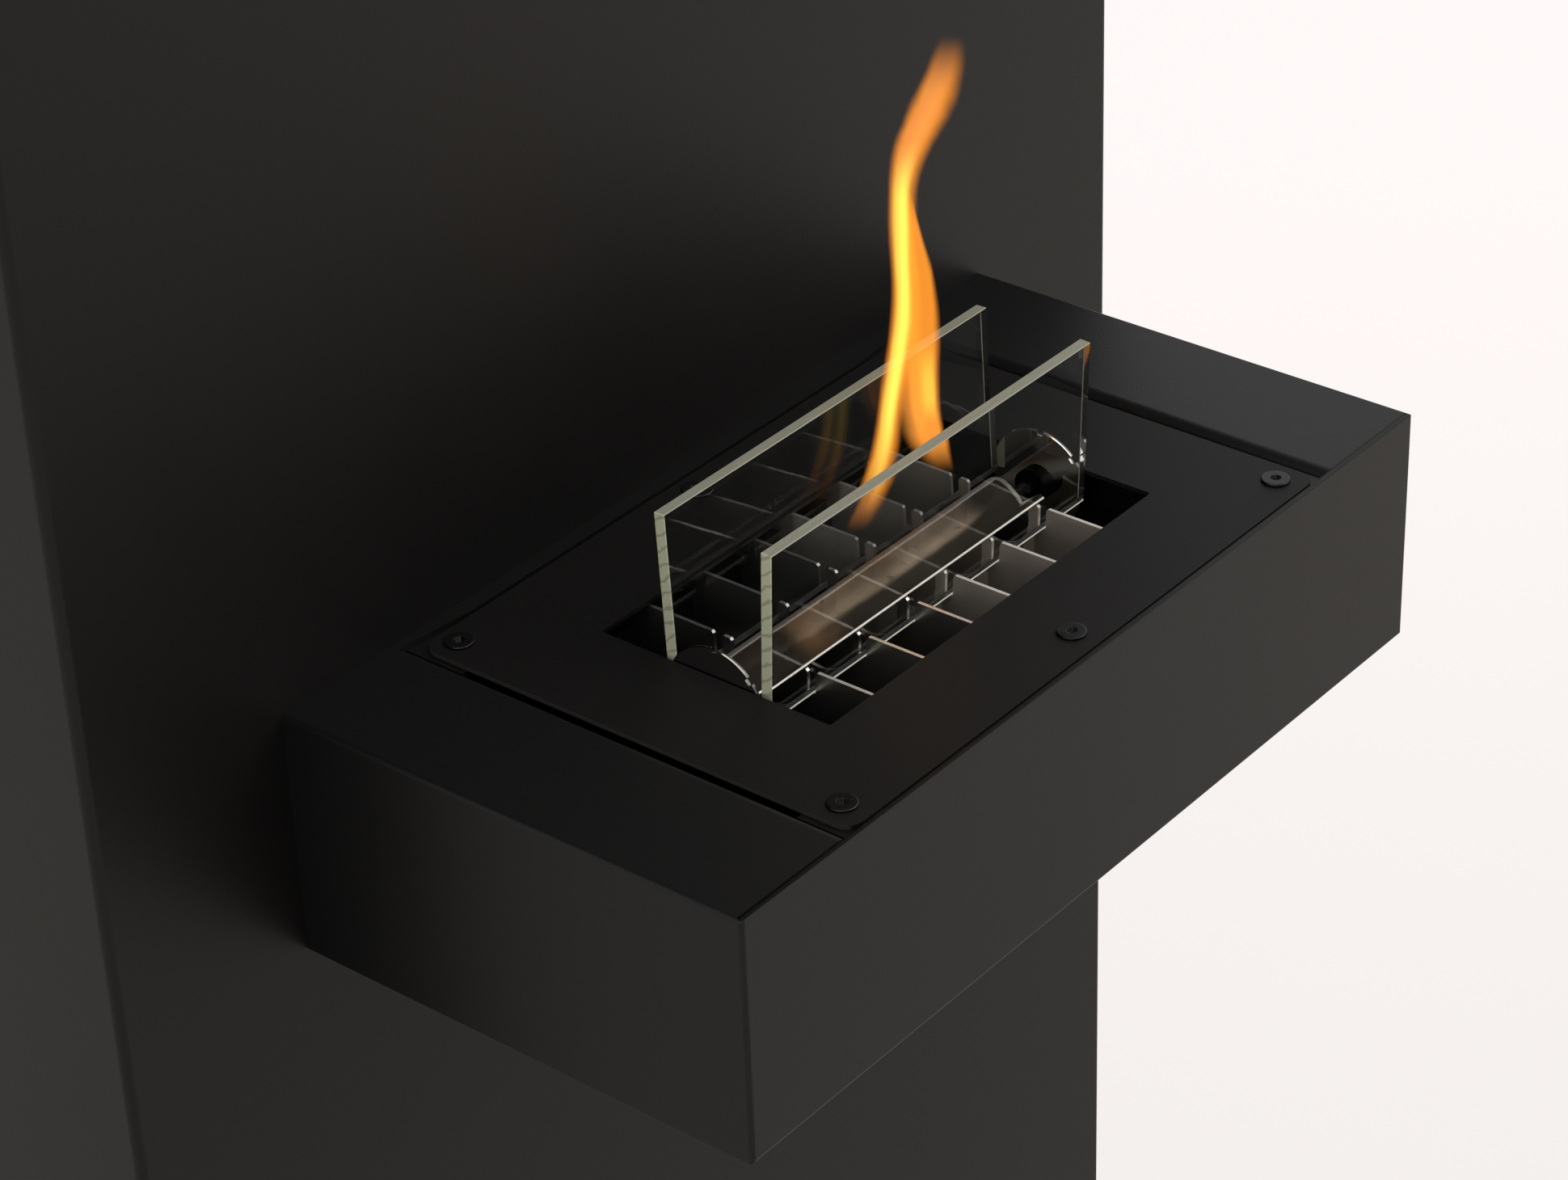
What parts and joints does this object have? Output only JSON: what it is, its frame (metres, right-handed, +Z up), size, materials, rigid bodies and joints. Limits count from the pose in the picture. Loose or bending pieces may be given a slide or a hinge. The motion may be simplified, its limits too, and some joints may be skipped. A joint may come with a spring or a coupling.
{
  "type": "wall-mounted fireplace",
  "caption": "Tall black wall casing with a shelf box that holds a liquid-fuel burner: cover plate, cross fins, turning flame regulator and two glass panes.",
  "frame": {"origin": "on the wall plane, in the middle between the two screw holes of the wall rail", "axes": "+X to the right as seen from the room, +Y into the wall, +Z up; the room side is -Y"},
  "size_m": [0.5, 0.275, 1],
  "materials": {
    "black_coat": "matte powder coat",
    "tank_black": "matte heat-proof paint",
    "black_screws": "blackened",
    "dark_steel": "blackened",
    "bush_brass": "turned",
    "plated_steel": "zinc plated",
    "polished_steel": "polished",
    "clear_glass": "polished, ground edges"
  },
  "bodies": {
    "frame": {"column_casing": "black_coat", "shelf_body": "black_coat", "burner_plate": "black_coat", "shelf_floor": "black_coat", "burner_tank": "tank_black", "front_comb": "tank_black", "rear_comb": "tank_black", "plate_screws": "black_screws", "axle_bushes": "bush_brass", "wall_rail": "plated_steel", "hanger_rail": "plated_steel", "lower_stay": "plated_steel", "backing_plate": "plated_steel", "front_ledge": "black_coat", "rear_ledge": "black_coat", "shelf_bolts": "plated_steel", "fin_1": "polished_steel", "fin_2": "polished_steel", "fin_3": "polished_steel", "fin_4": "polished_steel", "fin_5": "polished_steel", "fin_6": "polished_steel"},
    "regulator": {"left_disc": "polished_steel", "right_disc": "polished_steel", "regulator_strip": "polished_steel", "regulator_axle": "dark_steel", "axle_collars": "dark_steel"},
    "front_pane": {"front_glass": "clear_glass"},
    "rear_pane": {"rear_glass": "clear_glass"}
  },
  "joints": [
    {"name": "regulator_turn", "type": "hinge", "parent": "frame", "child": "regulator", "pos_m": [0, -0.19, -0.3793], "axis": [-1, 0, 0], "range_deg": [0, 70]},
    {"name": "front_pane_lift", "type": "slide", "parent": "frame", "child": "front_pane", "axis": [0, -0.0401, 0.9992], "range_m": [0, 0.06]},
    {"name": "rear_pane_lift", "type": "slide", "parent": "frame", "child": "rear_pane", "axis": [0, 0.0401, 0.9992], "range_m": [0, 0.06]}
  ]
}
